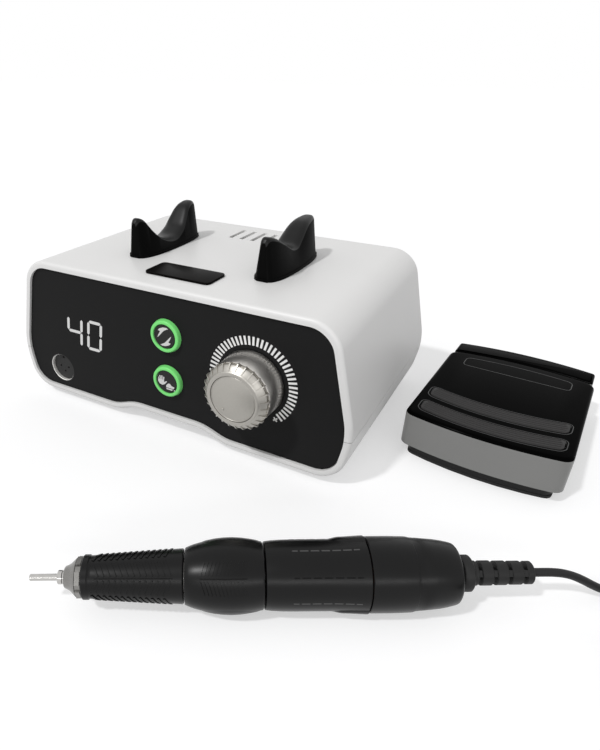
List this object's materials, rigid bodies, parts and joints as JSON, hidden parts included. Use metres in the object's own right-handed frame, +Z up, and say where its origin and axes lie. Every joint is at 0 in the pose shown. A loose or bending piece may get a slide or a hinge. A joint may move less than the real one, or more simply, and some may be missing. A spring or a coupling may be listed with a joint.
{
  "type": "dental lab micromotor",
  "caption": "Bench speed control unit with a display panel and knob, a foot pedal, and a motor handpiece with its cord, for grinding and polishing dental work.",
  "frame": {"origin": "on the bench, in the middle of the set's footprint without the cord and its plug", "axes": "+Z up; the control unit faces -Y, and +X runs to its right, where the pedal stands"},
  "size_m": [0.352, 0.2506, 0.0997],
  "materials": {
    "white_plastic": "fine satin",
    "black_plastic": "satin",
    "panel_film": "printed film, satin",
    "gloss_black": "polished",
    "green_ring": "satin",
    "circuit_board": "solder mask",
    "iron": "laminated",
    "nickel": "satin nickel",
    "nylon": "moulded",
    "chrome": "polished",
    "steel": "turned",
    "copper": "enamelled wire",
    "rubber": "matt"
  },
  "bodies": {
    "set": {"top_shell": "white_plastic", "bottom_shell": "white_plastic", "rear_panel": "white_plastic", "front_panel": "black_plastic", "direction_switch": "black_plastic", "mode_switch": "black_plastic", "motor_socket_insert": "black_plastic", "handpiece_rest_left": "black_plastic", "handpiece_rest_right": "black_plastic", "mains_inlet": "black_plastic", "power_switch_body": "black_plastic", "pedal_base": "black_plastic", "pedal_microswitch": "black_plastic", "motor_housing": "black_plastic", "rear_cap": "black_plastic", "cord_tie": "black_plastic", "panel_film": "panel_film", "top_badge": "gloss_black", "direction_button_ring": "green_ring", "mode_button_ring": "green_ring", "display_board": "circuit_board", "power_board": "circuit_board", "mains_transformer": "iron", "potentiometer_body": "iron", "nose_cone": "nickel", "motor_socket_ring": "chrome", "foot_socket": "chrome", "cord_plug": "chrome", "housing_screw_1": "steel", "housing_screw_2": "steel", "housing_screw_3": "steel", "housing_screw_4": "steel", "pedal_pivot_pin": "steel", "pedal_spring": "steel", "front_bearing": "steel", "rear_bearing": "steel", "motor_stator": "copper", "rubber_foot_1": "rubber", "rubber_foot_2": "rubber", "rubber_foot_3": "rubber", "rubber_foot_4": "rubber", "pedal_sole": "rubber", "nose_sleeve": "rubber", "strain_relief": "rubber", "handpiece_cord": "rubber", "handpiece_cord_coil": "rubber"},
    "knob": {"speed_knob": "nickel", "speed_knob_face": "nickel", "potentiometer_shaft": "nylon"},
    "direction_key": {"direction_button": "black_plastic"},
    "mode_key": {"mode_button": "black_plastic"},
    "power_key": {"power_rocker": "black_plastic"},
    "treadle": {"pedal_treadle": "gloss_black", "pedal_grip_front": "rubber", "pedal_grip_rear": "rubber"},
    "rotating_assembly": {"spindle": "steel", "bur_shank": "steel", "collet": "steel", "motor_rotor": "iron"},
    "chuck_ring": {"chuck_lock_ring": "black_plastic"}
  },
  "joints": [
    {"name": "speed_turn", "type": "hinge", "parent": "set", "child": "knob", "pos_m": [0.00357, -0.01892, 0.0418], "axis": [0, 1, 0], "range_deg": [0, 270]},
    {"name": "direction_press", "type": "slide", "parent": "set", "child": "direction_key", "axis": [0, 1, 0], "range_m": [0, 0.0012], "stiffness_N_per_m": 500, "springref_m": -0.0006},
    {"name": "mode_press", "type": "slide", "parent": "set", "child": "mode_key", "axis": [0, 1, 0], "range_m": [0, 0.0012], "stiffness_N_per_m": 500, "springref_m": -0.0006},
    {"name": "power_rock", "type": "hinge", "parent": "set", "child": "power_key", "pos_m": [-0.04753, 0.11078, 0.04], "axis": [-1, 0, 0], "range_deg": [0, 20]},
    {"name": "pedal_press", "type": "hinge", "parent": "set", "child": "treadle", "pos_m": [0.10352, 0.10451, 0.0125], "axis": [0.9976, -0.0698, 0], "range_deg": [0, 3], "stiffness_Nm_per_rad": 3, "springref_deg": -5.73, "deforming": ["pedal_spring"]},
    {"name": "spindle_turn", "type": "hinge", "parent": "set", "child": "rotating_assembly", "pos_m": [-0.02093, -0.12431, 0.013], "axis": [0.8536, 0.5209, 0], "continuous": true},
    {"name": "chuck_lock_turn", "type": "hinge", "parent": "set", "child": "chuck_ring", "pos_m": [-0.02093, -0.12431, 0.013], "axis": [0.8536, 0.5209, 0], "range_deg": [0, 45]}
  ]
}
